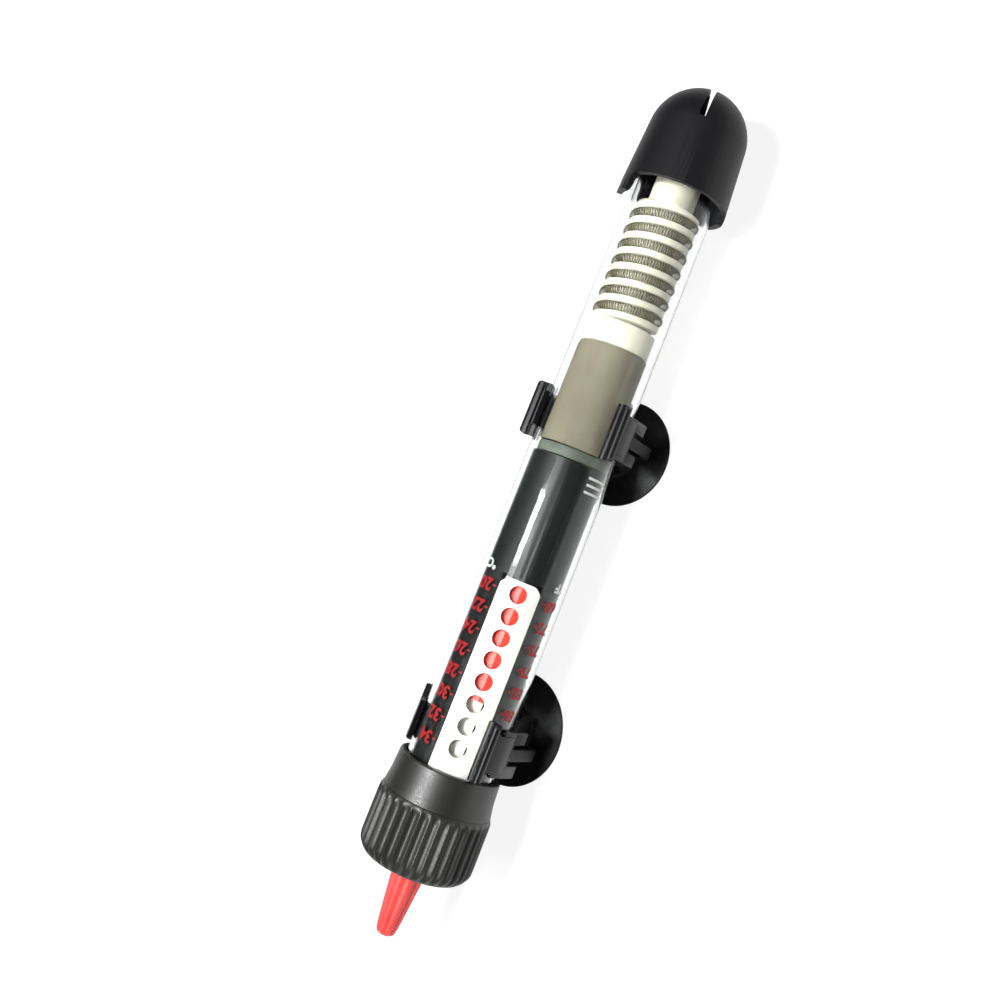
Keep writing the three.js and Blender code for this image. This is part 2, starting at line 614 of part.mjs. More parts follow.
// The ring runs from the second ear under the tube, past the first ear to its free tip.
function clip(centre, shift, ears, tip) {
  const half = CLIP_WIDTH / 2;
  const earHalf = EAR_WIDTH / 2;
  const innerR = CLIP_R - CLIP_WALL;
  const parts = ears.flatMap((degrees) => [
    radialBox(centre - earHalf, centre + earHalf, innerR + 0.1, EAR_R - 0.8, EAR_THICK, degrees),
    sidePin(centre - earHalf, centre + earHalf, EAR_BEAD_R, EAR_R - EAR_BEAD_R, degrees, 16),
  ]);
  const arms = sector(centre - half, centre + half, innerR, CLIP_R, ears[1], tip + 360);
  const hole = new THREE.CylinderGeometry(STEM_R + 0.4, STEM_R + 0.4, 4, 24);
  hole.rotateX(Math.PI / 2).translate(CROWN_X - centre + shift, 0, PLATE_LOW + BRACKET_WALL / 2);
  return cut(join(arms, ...parts, clipBracket(centre, shift), ...clipFingers(centre)), hole);
}

function suctionCup(x) {
  const profile = [[0, 2], [9, 1.4], [14, 0], [CUP_R, 0], [CUP_R, 0.7], [12, 1.9], [8, 3.3], [8, 4.2],
    [STEM_R, 4.2], [STEM_R, 6.7], [4.2, 7], [3.9, 8.5], [2.4, 9.2], [0, 9.2]];
  const cup = new THREE.LatheGeometry(profile.map(([r, z]) => new THREE.Vector2(r, z)), 40);
  return cup.rotateX(Math.PI / 2).translate(x, 0, 0);
}

// [name, distance of the clip's centre, shift of its cup towards the crown, directions of its ears and tip]
const HOLDERS = [['guard_end', 105.5, -1.5, [20, 159], 48], ['cap_end', 196, 3.5, [0, 152], 48]];
HOLDERS.forEach(([end, centre, shift, ears, tip]) => {
  add(`clip_${end}`, clip(centre, shift, ears, tip), BLACK, 0.4);
  add(`suction_cup_${end}`, suctionCup(CROWN_X - centre + shift), 0x161618, 0.7);
});

export default model;
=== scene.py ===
"""Looks of the submersible aquarium heater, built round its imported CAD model.

Shapes are made in millimetres, and place() turns them into metres. The glass tube lies along X.
Lengthwise places are distances from the guard's crown, growing towards the knob. Angles go round the
tube from +Y towards +Z; FRONT is the direction that the scale faces.
"""

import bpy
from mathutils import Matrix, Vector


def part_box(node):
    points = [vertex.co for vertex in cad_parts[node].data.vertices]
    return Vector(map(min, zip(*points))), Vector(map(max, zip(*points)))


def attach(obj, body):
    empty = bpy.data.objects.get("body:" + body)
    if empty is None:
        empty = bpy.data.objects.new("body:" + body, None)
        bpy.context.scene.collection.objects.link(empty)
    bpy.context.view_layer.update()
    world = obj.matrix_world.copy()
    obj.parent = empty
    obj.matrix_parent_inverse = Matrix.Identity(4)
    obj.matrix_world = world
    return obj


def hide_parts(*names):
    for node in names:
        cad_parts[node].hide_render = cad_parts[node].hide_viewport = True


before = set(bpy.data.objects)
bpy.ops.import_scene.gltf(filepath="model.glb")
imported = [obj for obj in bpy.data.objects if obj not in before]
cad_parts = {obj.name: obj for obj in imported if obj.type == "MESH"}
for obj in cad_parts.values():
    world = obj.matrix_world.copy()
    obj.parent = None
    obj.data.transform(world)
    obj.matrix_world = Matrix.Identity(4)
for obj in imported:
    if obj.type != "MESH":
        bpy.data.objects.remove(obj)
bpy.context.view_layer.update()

import math

import bmesh
import bpy
from mathutils import Matrix, Quaternion, Vector

# ---------------------------------------------------------------- driving dimensions, millimetres
MM = 0.001
AXIS_Z = 24.4
CROWN_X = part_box("adjuster_knob")[0].x / MM + 251
FRONT = 124
GAP = 0.3
ON_AXIS = 1e-6

GLASS_R = 12.5
GLASS_WALL = 1.2
GLASS_TOP = 14
GLASS_MOUTH = 222

GUARD_DOME_R = 14.8
GUARD_DOME = 15.5
GUARD_R = 16
GUARD_EDGE = 34.1
GUARD_WALL = 1.7
CROWN_CUT = 0.2
SKIRT_FLARE = 0.15
SLOT_HALF = 1.05
SLOT_END = 13.4
SLOT_TURN = -5.5
GRIP_RIBS = (18, 32)
TRIM_R = (13, 18)
# A tab: its middle direction from the front, half its width in degrees, and where it ends.
TABS = [(-76, 17, 39), (110, 19, 36.2), (-140, 10, 35.5), (148, 8, 35.5)]
DEEP_GAP = (-130, -93, 30.5)
TAB_FILLET = 2.4
TAB_CORNER = 1.8

COIL_START = 39.9
COIL_TURNS = 7
COIL_PITCH = 4.85
COIL_R = 8.9
WINDING_R = 1.2
WIRE_R = 0.1
WINDING_PITCH = 0.8
CORE = (18, 98)
CORE_BORE_R = 1.4
CORE_NECK_R = 6.8
CORE_BASE_R = 9.9
LEAD_END = 121
LEAD_ORBIT = 10.75
LEAD_R = 0.32

SLEEVE = (83, 113.1)
SLEEVE_R = 10.25
CONTROL = (116.8, 207)
CONTROL_R = 10.9
FRAME_WALL = 1.1
FRAME_SPAN = (FRONT - 150, FRONT + 70)
BULKHEAD = 2
BULKHEAD_R = 10.1
DECK = (-5, -3.8)
DECK_SIDES = (-9.2, 7.5)
LIP_R = 9.55
LIP_HALF = 24
PLATE = (151.9, 204.7)
PLATE_R = 11
PLATE_THICK = 1.2
PLATE_HALF = 30.5
WINDOW_FIRST = 155.4
WINDOW_PITCH = 6.07
WINDOWS = 8
WINDOW_R = 2.4
CHANNEL_R = PLATE_R - 2.9
CHANNEL_THICK = 0.9
SLIDE = (137.6, 185)
SLIDE_THICK = 1.1
SLIDE_HALF = 22
NUT = (173.5, 178.5)
NUT_R = 3.2
CELSIUS = FRONT - 47.5
FAHRENHEIT = FRONT + 49
SIGNS = WINDOW_FIRST - 5.4

COLLAR = (204.4, 213.95)
COLLAR_RIM_R = 14.4
COLLAR_WAIST = (210.5, 14.75)
COLLAR_END_R = 15.35
SPIGOT = (225.2, 14)
CAP = (214, 232)
CAP_R = 16.05
CAP_RIBS = 36
CAP_RIB_DEPTH = 0.9
CAP_BORE_R = 14.3
CAP_WALL = 225.6
GLAND_OFFSET = -8.7
GLAND_R = 4
GLAND_BORE_R = 3
KNOB = (232.4, 251)
KNOB_R = 4.6
KNOB_TIP_R = 2.9
KNOB_FLUTES = 8
KNOB_SOCKET = 240
SPINDLE = (207.6, 239.7)
SPINDLE_R = 2
SCREW = (153, 207.3)
SCREW_R = 1.5
SCREW_PITCH = 1.2

CLIP_R = 14.3
CLIP_WALL = 1.5
CLIP_WIDTH = 10
EAR_WIDTH = 16
EAR_R = 17.3
EAR_HALF_THICK = 1.15
FOOT_LOW = 4.6
STEM_R = 3
CUP_R = 16.25
# A holder: its end, its middle, how far its foot is set off, its ears' directions and its ring's tip.
HOLDERS = [("guard_end", 105.5, -1.5, (20, 159), 48), ("cap_end", 196, 3.5, (0, 152), 48)]


# ---------------------------------------------------------------- shapes
def at(distance, radius, degrees):
    """The point at a distance from the crown, a radius from the axis, and a direction round it."""
    angle = math.radians(degrees)
    return Vector((CROWN_X - distance, radius * math.cos(angle), AXIS_Z + radius * math.sin(angle)))


def mesh_object(name, vertices, faces):
    mesh = bpy.data.meshes.new(name)
    mesh.from_pydata([tuple(v) for v in vertices], [], faces)
    bm = bmesh.new()
    bm.from_mesh(mesh)
    bmesh.ops.remove_doubles(bm, verts=bm.verts, dist=1e-4)
    bmesh.ops.recalc_face_normals(bm, faces=bm.faces)
    bm.to_mesh(mesh)
    bm.free()
    obj = bpy.data.objects.new(name, mesh)
    bpy.context.scene.collection.objects.link(obj)
    return obj


def settle(obj):
    """Applies the modifiers."""
    graph = bpy.context.evaluated_depsgraph_get()
    mesh = bpy.data.meshes.new_from_object(obj.evaluated_get(graph))
    obj.modifiers.clear()
    obj.data = mesh
    return obj


def combine(obj, others, operation):
    """Joins the others to the object, cuts them out of it, or keeps what they share."""
    for other in others:
        modifier = obj.modifiers.new(operation, "BOOLEAN")
        modifier.operation = operation
        modifier.solver = "MANIFOLD"
        modifier.object = other
    settle(obj)
    for other in others:
        bpy.data.objects.remove(other)
    return obj


def bevel(obj, width, segments=2, angle=40):
    modifier = obj.modifiers.new("edges", "BEVEL")
    modifier.width = width
    modifier.segments = segments
    modifier.limit_method = "ANGLE"
    modifier.angle_limit = math.radians(angle)
    return settle(obj)


def rounded(outline, radius, closed=True):
    """The outline with its corners rounded. A corner's third number, if it has one, is its own radius."""
    points = []
    count = len(outline)
    steps = 4
    for i, corner in enumerate(outline):
        here = Vector(corner[:2])
        size = corner[2] if len(corner) > 2 else radius
        if size == 0 or (not closed and i in (0, count - 1)):
            points.append(here)
            continue
        back = Vector(outline[i - 1][:2]) - here
        ahead = Vector(outline[(i + 1) % count][:2]) - here
        reach = min(size, 0.45 * back.length, 0.45 * ahead.length)
        a = here + back.normalized() * reach
        b = here + ahead.normalized() * reach
        for k in range(steps + 1):
            t = k / steps
            points.append(a * (1 - t) ** 2 + here * 2 * t * (1 - t) + b * t * t)
    return points


def lathe(name, rings, segments, closed):
    """A skin over rings of points; a ring of one point closes the end there."""
    vertices = []
    numbered = []
    faces = []
    for ring in rings:
        start = len(vertices)
        vertices += ring
        numbered.append([start] * segments if len(ring) == 1 else list(range(start, start + segments)))
    pairs = list(zip(numbered, numbered[1:])) + ([(numbered[-1], numbered[0])] if closed else [])
    for one, two in pairs:
        for k in range(segments):
            n = (k + 1) % segments
            corners = list(dict.fromkeys([one[k], one[n], two[n], two[k]]))
            if len(corners) > 2:
                faces.append(corners)
    return mesh_object(name, vertices, faces)


def prism(name, near, far):
    """A closed body between two outlines of as many points."""
    count = len(near)
    faces = [tuple(range(count)), tuple(range(count, 2 * count))]
    faces += [(i, (i + 1) % count, count + (i + 1) % count, count + i) for i in range(count)]
    return mesh_object(name, near + far, faces)


def turned(name, outline, segments=128, closed=True, radius_at=None):
    """Turns an outline of (distance, radius) round the tube.

    radius_at(distance, radius, degrees) may give the radius its own value in each direction.
    """
    rings = []
    for distance, radius in outline:
        if radius < ON_AXIS:
            rings.append([at(distance, 0, 0)])
            continue
        ring = []
        for k in range(segments):
            degrees = 360 * k / segments
            own = radius_at(distance, radius, degrees) if radius_at else radius
            ring.append(at(distance, own, degrees))
        rings.append(ring)
    return lathe(name, rings, segments, closed)


def dome(start, length, radius, steps):
    """Quarter ellipse from the axis out to the radius, as (distance, radius, 0)."""
    turns = [0.5 * math.pi * k / steps for k in range(steps + 1)]
    return [(start + length * (1 - math.cos(t)), radius * math.sin(t), 0) for t in turns]


def swept(name, outline, begin, end):
    """Carries an outline of (y, z), measured from the tube axis, along the tube."""
    near, far = ([(CROWN_X - distance, y, AXIS_Z + z) for y, z in outline] for distance in (begin, end))
    return prism(name, near, far)


def arc(radius, start, end):
    """Points round the axis, at most 3 degrees apart."""
    count = max(2, math.ceil(abs(end - start) / 3))
    turns = [math.radians(start + (end - start) * k / count) for k in range(count + 1)]
    return [(radius * math.cos(t), radius * math.sin(t)) for t in turns]


def wall(name, begin, end, inner, outer, start, stop):
    """A curved wall: the part of a ring between two directions."""
    return swept(name, arc(outer, start, stop) + arc(inner, stop, start), begin, end)


def turned_frame(degrees):
    """Local z out from the tube axis, local x along the tube towards the crown."""
    return Matrix.Translation((0, 0, AXIS_Z)) @ Matrix.Rotation(math.radians(degrees - 90), 4, "X")


def block(name, begin, end, out_from, out_to, side_from, side_to, degrees=FRONT):
    """A box given by its spans along the tube, out from the axis and to the side."""
    spans = [(CROWN_X - end, CROWN_X - begin), (-side_to, -side_from), (out_from, out_to)]
    corners = [Vector((x, y, z)) for x in spans[0] for y in spans[1] for z in spans[2]]
    vertices = [turned_frame(degrees) @ corner for corner in corners]
    faces = [(0, 1, 3, 2), (4, 6, 7, 5), (0, 4, 5, 1), (2, 3, 7, 6), (0, 2, 6, 4), (1, 5, 7, 3)]
    return mesh_object(name, vertices, faces)


def pin(name, outline, matrix, segments=48):
    """Turns an outline of (height, radius) round local z, then moves it."""
    rings = []
    for height, radius in outline:
        if radius < ON_AXIS:
            rings.append([matrix @ Vector((0, 0, height))])
            continue
        turns = [2 * math.pi * k / segments for k in range(segments)]
        rings.append([matrix @ Vector((radius * math.cos(t), radius * math.sin(t), height)) for t in turns])
    return lathe(name, rings, segments, closed=True)


def outward(distance, degrees):
    """Local z points out from the tube at this place, starting at the tube axis."""
    return Matrix.Translation((CROWN_X - distance, 0, 0)) @ turned_frame(degrees)


def lengthwise(distance, front, side):
    """Local z points along the tube towards the knob, from a place beside the axis."""
    spot = turned_frame(FRONT) @ Vector((CROWN_X - distance, -side, front))
    return Matrix.Translation(spot) @ Matrix.Rotation(math.radians(-90), 4, "Y")


def tube(name, points, radius, sides=6):
    """A round wire along a list of points, with closed ends."""
    vertices = []
    faces = []
    across = None
    last = len(points) - 1
    for i, point in enumerate(points):
        tangent = (points[min(i + 1, last)] - points[max(i - 1, 0)]).normalized()
        if across is None:
            across = tangent.orthogonal()
        across = (across - tangent * across.dot(tangent)).normalized()
        other = tangent.cross(across)
        for k in range(sides):
            t = 2 * math.pi * k / sides
            vertices.append(point + radius * (math.cos(t) * across + math.sin(t) * other))
    for i in range(last):
        for k in range(sides):
            n = (k + 1) % sides
            a = i * sides
            faces.append((a + k, a + n, a + sides + n, a + sides + k))
    faces += [tuple(range(sides)), tuple(range(last * sides, (last + 1) * sides))]
    return mesh_object(name, vertices, faces)


# ---------------------------------------------------------------- materials
def rgb(red, green, blue):
    """Screen colour, 0 to 255, as the linear colour that a shader takes."""
    parts = [c / 255 for c in (red, green, blue)]
    return tuple(c / 12.92 if c <= 0.04045 else ((c + 0.055) / 1.055) ** 2.4 for c in parts) + (1,)


def noise(tree, scale, detail=3, stretch=(1, 1, 1)):
    """A noise node in object space, in which the scale counts features per metre."""
    coordinates = tree.nodes.new("ShaderNodeTexCoord")
    mapping = tree.nodes.new("ShaderNodeMapping")
    mapping.inputs["Scale"].default_value = stretch
    node = tree.nodes.new("ShaderNodeTexNoise")
    node.inputs["Scale"].default_value = scale
    node.inputs["Detail"].default_value = detail
    tree.links.new(coordinates.outputs["Object"], mapping.inputs["Vector"])
    tree.links.new(mapping.outputs["Vector"], node.inputs["Vector"])
    return node.outputs["Fac"]


def between(tree, factor, low, high, start=0.3, end=0.7):
    """Spreads the middle of a 0 to 1 factor over the range from low to high."""
    node = tree.nodes.new("ShaderNodeMapRange")
    node.inputs["From Min"].default_value = start
    node.inputs["From Max"].default_value = end
    node.inputs["To Min"].default_value = low
    node.inputs["To Max"].default_value = high
    tree.links.new(factor, node.inputs["Value"])
    return node.outputs["Result"]


def blended(tree, factor, one, two):
    node = tree.nodes.new("ShaderNodeMix")
    node.data_type = "RGBA"
    node.inputs[6].default_value = one
    node.inputs[7].default_value = two
    tree.links.new(factor, node.inputs[0])
    return node.outputs[2]


def surface(name, main, second, roughness, spread=0.08, mottle=70, grain=2500, bump=0.15,
            stretch=(1, 1, 1), metallic=0.0, **sockets):
    """Colour mottled between two tones, and roughness and relief from a finer grain."""
    material = bpy.data.materials.new(name)
    material.use_nodes = True
    tree = material.node_tree
    shader = tree.nodes["Principled BSDF"]
    shader.inputs["Metallic"].default_value = metallic
    for socket, value in sockets.items():
        shader.inputs[socket.replace("_", " ")].default_value = value
    patches = between(tree, noise(tree, mottle, 5, stretch), 0, 1)
    tree.links.new(blended(tree, patches, rgb(*main), rgb(*second)), shader.inputs["Base Color"])
    fine = noise(tree, grain, 3, stretch)
    tree.links.new(between(tree, fine, roughness - spread, roughness + spread), shader.inputs["Roughness"])
    relief = tree.nodes.new("ShaderNodeBump")
    relief.inputs["Strength"].default_value = bump
    relief.inputs["Distance"].default_value = 0.0001
    tree.links.new(fine, relief.inputs["Height"])
    tree.links.new(relief.outputs["Normal"], shader.inputs["Normal"])
    return material


def clear_glass():
    """Borosilicate glass with faint drawing lines; lamps shine straight through it."""
    material = bpy.data.materials.new("clear_glass")
    material.use_nodes = True
    tree = material.node_tree
    shader = tree.nodes["Principled BSDF"]
    shader.inputs["Base Color"].default_value = (0.97, 0.985, 0.98, 1)
    shader.inputs["Transmission Weight"].default_value = 1
    shader.inputs["IOR"].default_value = 1.3
    haze = noise(tree, 250, 4, (0.2, 1, 1))
    tree.links.new(between(tree, haze, 0.05, 0.09), shader.inputs["Roughness"])
    waves = noise(tree, 90, 1, (0.1, 1, 1))
    relief = tree.nodes.new("ShaderNodeBump")
    relief.inputs["Strength"].default_value = 0.006
    relief.inputs["Distance"].default_value = 0.0005
    tree.links.new(waves, relief.inputs["Height"])
    tree.links.new(relief.outputs["Normal"], shader.inputs["Normal"])
    path = tree.nodes.new("ShaderNodeLightPath")
    through = tree.nodes.new("ShaderNodeBsdfTransparent")
    through.inputs["Color"].default_value = (0.95, 0.96, 0.955, 1)
    mix = tree.nodes.new("ShaderNodeMixShader")
    tree.links.new(path.outputs["Is Shadow Ray"], mix.inputs[0])
    tree.links.new(shader.outputs["BSDF"], mix.inputs[1])
    tree.links.new(through.outputs["BSDF"], mix.inputs[2])
    tree.links.new(mix.outputs["Shader"], tree.nodes["Material Output"].inputs["Surface"])
    return material


GUARD = surface("guard_black", (22, 22, 25), (15, 15, 17), 0.5, grain=3500, bump=0.2, Specular_IOR_Level=0.3)
GLASS = clear_glass()
CERAMIC = surface("white_ceramic", (205, 203, 186), (186, 182, 164), 0.62, mottle=120, grain=1600, bump=0.3)
WIRE = surface("oxidised_wire", (98, 92, 66), (58, 52, 36), 0.45, mottle=300, metallic=0.5)
STEEL = surface("steel", (178, 178, 174), (150, 150, 148), 0.32, mottle=200, metallic=1.0)
BRASS = surface("brass", (190, 152, 84), (160, 120, 60), 0.34, mottle=200, metallic=1.0)
SHIELD = surface("heat_shield", (110, 106, 90), (94, 87, 75), 0.88, mottle=160, grain=2600,
                 bump=0.6, stretch=(0.35, 1, 1), Specular_IOR_Level=0.2)
SPACER = surface("spacer_board", (78, 84, 74), (62, 68, 60), 0.6, mottle=200, bump=0.3,
                 Specular_IOR_Level=0.3)
FRAME = surface("frame_black", (19, 20, 20), (12, 13, 13), 0.4, mottle=500, grain=2200, bump=0.12,
                stretch=(0.05, 1, 1), Specular_IOR_Level=0.25)
WHITE = surface("white_plastic", (229, 229, 223), (219, 218, 211), 0.42, mottle=50, bump=0.08)
RED = surface("red_plastic", (214, 50, 36), (196, 38, 28), 0.4, mottle=90, bump=0.1, Specular_IOR_Level=0.3)
INK_RED = surface("red_ink", (165, 42, 44), (145, 32, 36), 0.5, mottle=900, bump=0.2, Specular_IOR_Level=0.2)
INK_WHITE = surface("white_ink", (225, 230, 225), (196, 202, 196), 0.5, mottle=900, bump=0.2)
LAMP = surface("lamp_glass", (240, 190, 160), (225, 165, 130), 0.1, mottle=400, bump=0.02)
RESISTOR = surface("resistor_body", (206, 186, 146), (186, 164, 124), 0.5, mottle=400)
CAP_BLACK = surface("cap_black", (38, 39, 36), (29, 30, 28), 0.44, grain=2800, bump=0.16,
                    Specular_IOR_Level=0.6)
RUBBER = surface("black_rubber", (19, 19, 21), (13, 13, 15), 0.52, spread=0.1, grain=1800, bump=0.25,
                 Specular_IOR_Level=0.25)
KNOB_RED = surface("knob_red", (239, 84, 79), (224, 66, 63), 0.36, mottle=120, grain=3000, bump=0.1,
                   Specular_IOR_Level=0.35)
CLIP_BLACK = surface("clip_black", (15, 15, 17), (10, 10, 12), 0.34, grain=2400, bump=0.1,
                     Specular_IOR_Level=0.3)


def place(obj, material, body, slot, *nodes, smooth=35):
    """Millimetres to metres, material, smooth faces between sharp edges, and the body that it rides."""
    obj.data.transform(Matrix.Scale(MM, 4))
    obj.data.materials.clear()
    obj.data.materials.append(material)
    obj.data.shade_smooth()
    obj.data.set_sharp_from_angle(angle=math.radians(smooth))
    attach(obj, body)
    if nodes:
        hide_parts(*nodes)
    return obj


# ---------------------------------------------------------------- stage, lamps and camera
def floor():
    vertices = [(x, y, -0.3) for x, y in ((-3000, -3000), (3000, -3000), (3000, 3000), (-3000, 3000))]
    ground = mesh_object("floor", vertices, [(0, 1, 2, 3)])
    ground.data.transform(Matrix.Scale(MM, 4))
    pale = surface("pale_floor", (132, 132, 132), (128, 128, 128), 0.9, mottle=3, bump=0.02,
                   Emission_Color=(1, 1, 1, 1), Emission_Strength=0.89, Specular_IOR_Level=0.1)
    ground.data.materials.append(pale)


def area_lamp(name, degrees, distance, shift, size, power):
    """A rectangular soft box that faces the tube from a direction round it, set off along it by the shift."""
    angle = math.radians(degrees)
    spot = Vector((shift, distance * math.cos(angle), AXIS_Z + distance * math.sin(angle))) * MM
    light = bpy.data.lights.new(name, "AREA")
    light.shape = "RECTANGLE"
    light.size, light.size_y = size[0] * MM, size[1] * MM
    light.energy = power
    lamp = bpy.data.objects.new(name, light)
    bpy.context.scene.collection.objects.link(lamp)
    aim = Vector((shift * MM, 0, AXIS_Z * MM)) - spot
    lamp.matrix_world = Matrix.Translation(spot) @ aim.to_track_quat("-Z", "Y").to_matrix().to_4x4()
    return lamp


def studio():
    """Two soft boxes end to end in a dim room. What is seen past the floor is a pale backdrop instead."""
    world = bpy.data.worlds.new("studio")
    world.use_nodes = True
    tree = world.node_tree
    split = tree.nodes.new("ShaderNodeSeparateXYZ")
    tree.links.new(tree.nodes.new("ShaderNodeTexCoord").outputs["Generated"], split.inputs["Vector"])
    room = tree.nodes["Background"]
    tree.links.new(between(tree, split.outputs["Z"], 0.42, 0.14, 0.05, 0.7), room.inputs["Strength"])
    backdrop = tree.nodes.new("ShaderNodeBackground")
    backdrop.inputs["Color"].default_value = (0.9, 0.9, 0.9, 1)
    path = tree.nodes.new("ShaderNodeLightPath")
    bounces = tree.nodes.new("ShaderNodeMath")
    tree.links.new(path.outputs["Diffuse Depth"], bounces.inputs[0])
    tree.links.new(path.outputs["Glossy Depth"], bounces.inputs[1])
    direct = tree.nodes.new("ShaderNodeMath")
    direct.operation = "LESS_THAN"
    direct.inputs[1].default_value = 0.5
    tree.links.new(bounces.outputs["Value"], direct.inputs[0])
    mix = tree.nodes.new("ShaderNodeMixShader")
    tree.links.new(direct.outputs["Value"], mix.inputs[0])
    tree.links.new(room.outputs["Background"], mix.inputs[1])
    tree.links.new(backdrop.outputs["Background"], mix.inputs[2])
    tree.links.new(mix.outputs["Shader"], tree.nodes["World Output"].inputs["Surface"])
    bpy.context.scene.world = world
    bpy.context.scene.view_settings.view_transform = "Standard"
    area_lamp("key", 88, 700, -297, (425, 190), 3)
    area_lamp("strip", 88, 700, -47, (75, 150), 6)


def camera():
    """Looks down on the scale, with the guard at the top right of the picture."""
    spot = Vector((-14.2, -170.0, 284.8)) * MM
    aim = Vector((28.18, 10.87, 24.4)) * MM
    data = bpy.data.cameras.new("camera")
    data.lens = 39.888
    data.sensor_width = 36
    data.shift_x, data.shift_y = -0.0642, -0.1097
    data.clip_start = 0.01
    obj = bpy.data.objects.new("camera", data)
    bpy.context.scene.collection.objects.link(obj)
    look = (aim - spot).to_track_quat("-Z", "Y") @ Quaternion((0, 0, 1), math.radians(-57.495))
    obj.matrix_world = Matrix.Translation(spot) @ look.to_matrix().to_4x4()
    bpy.context.scene.camera = obj


# ---------------------------------------------------------------- guard and glass
def skirt_edge(turn):
    """Where the skirt ends in a direction: tabs with rounded tips, and fillets beside them."""
    low, high, deep = DEEP_GAP
    edge = deep if low < turn < high else GUARD_EDGE
    arm = math.radians(1) * GUARD_R
    for middle, half, end in TABS:
        side = (half - abs((turn - middle + 180) % 360 - 180)) * arm
        if side < 0:
            reach = max(0, 1 + side / TAB_FILLET)
            edge += (1 - math.sqrt(1 - reach * reach)) * TAB_FILLET
        else:
            corner = max(0, 1 - side / TAB_CORNER)
            edge = end - (1 - math.sqrt(1 - corner * corner)) * TAB_CORNER
            break
    return edge


def end_guard():
    """Domed guard: crossed slots through the crown, tabs below the skirt, grip ribs inside."""
    wall_in = GUARD_R - GUARD_WALL
    edge = TABS[0][2] + 1
    outer = dome(CROWN_CUT, GUARD_DOME - CROWN_CUT, GUARD_DOME_R, 20)
    outer += [(GUARD_EDGE, GUARD_R, 0), (edge, GUARD_R + SKIRT_FLARE, 0)]
    inner = [(edge, wall_in + SKIRT_FLARE, 0), (GUARD_EDGE, wall_in, 0)]
    inner += dome(GUARD_WALL, GUARD_DOME - GUARD_WALL, GUARD_DOME_R - GUARD_WALL, 16)[::-1]
    shell = turned("end_guard_shell", rounded(outer + inner, 0, closed=False), 120)
    steps = 720
    near, far = TRIM_R
    vertices = []
    for k in range(steps):
        turn = 360 * k / steps - 180
        begin = skirt_edge(turn)
        for distance, radius in ((begin, near), (begin, far), (edge + 1, far), (edge + 1, near)):
            vertices.append(at(distance, radius, FRONT + turn))
    faces = [(4 * k + c, 4 * k + (c + 1) % 4, 4 * ((k + 1) % steps) + (c + 1) % 4, 4 * ((k + 1) % steps) + c)
             for k in range(steps) for c in range(4)]
    cutters = [mesh_object("skirt_trim", vertices, faces)]
    for turn in (0, 90):
        cutters.append(block("slot", -1, SLOT_END, -20, 20, -SLOT_HALF, SLOT_HALF, FRONT + SLOT_TURN + turn))
    combine(shell, cutters, "DIFFERENCE")
    bevel(shell, 0.3, 3, 50)
    place(shell, GUARD, "heater", "guard_plastic", "end_guard")
    for i in range(4):
        rib = block(f"guard_rib_{i}", *GRIP_RIBS, GLASS_R + GAP, GUARD_R - 1.6, -1, 1, FRONT + 45 + 90 * i)
        place(bevel(rib, 0.3), GUARD, "heater", "guard_plastic")


def glass_tube():
    inner = GLASS_R - GLASS_WALL
    outline = dome(GLASS_TOP, GLASS_R, GLASS_R, 20) + [(GLASS_MOUTH, GLASS_R), (GLASS_MOUTH, inner)]
    outline += dome(GLASS_TOP + GLASS_WALL, inner, inner, 20)[::-1]
    tube_obj = turned("glass", rounded(outline, 0.4, closed=False), 160, closed=False)
    place(tube_obj, GLASS, "heater", "glass", "glass_tube", smooth=50)


# ---------------------------------------------------------------- heater
def ceramic_core():
    """Stepped core. A spiral groove for the coil runs between rounded lands."""
    land = COIL_START - 0.9
    coil_end = COIL_START + COIL_TURNS * COIL_PITCH + 1.8
    floor_r = COIL_R - 1.5

    def grooved(distance, radius, degrees):
        if not (land < distance < coil_end and radius > 9):
            return radius
        turn = (distance - COIL_START) / COIL_PITCH + (degrees - FRONT - 180) / 360
        off = abs((turn + 0.5) % 1 - 0.5) * COIL_PITCH
        return floor_r + (radius - floor_r) * min(1, max(0, (off - 1.15) / 0.45)) ** 0.5

    steps = int((coil_end - land) / 0.16)
    outline = [(CORE[0], CORE_BORE_R), (CORE[0], CORE_NECK_R - 0.5), (CORE[0] + 0.5, CORE_NECK_R),
               (land - 0.6, CORE_NECK_R), (land - 0.3, 7.2), (land, 9.2)]
    outline += [(land + (coil_end - land) * k / steps, 9.7) for k in range(1, steps)]
    base_end = SLEEVE[0] - GAP
    outline += [(coil_end, 9.8), (coil_end + 0.4, CORE_BASE_R), (base_end - 0.4, CORE_BASE_R),
                (base_end, 9.5), (base_end, SLEEVE_R - 2), (CORE[1], SLEEVE_R - 2), (CORE[1], CORE_BORE_R)]
    core = turned("ceramic_core_body", outline, 120, radius_at=grooved)
    place(core, CERAMIC, "heater", "ceramic", "ceramic_core", smooth=50)


def heating_coil():
    """Fine wire wound into a spring, and the spring wound round the core."""
    turn_length = math.hypot(2 * math.pi * COIL_R, COIL_PITCH)
    windings = COIL_TURNS * turn_length / WINDING_PITCH
    steps = int(windings * 12)
    points = []
    for i in range(steps + 1):
        turn = COIL_TURNS * i / steps
        degrees = FRONT + 180 - 360 * turn
        centre = at(COIL_START + COIL_PITCH * turn, COIL_R, degrees)
        out = (at(0, 1, degrees) - at(0, 0, 0)).normalized()
        phase = 2 * math.pi * windings * i / steps
        points.append(centre + WINDING_R * (math.cos(phase) * out + math.sin(phase) * Vector((1, 0, 0))))
    wire = tube("resistance_wire", points, WIRE_R, 5)
    place(wire, WIRE, "heater", "resistance_wire", "heating_coil", smooth=80)


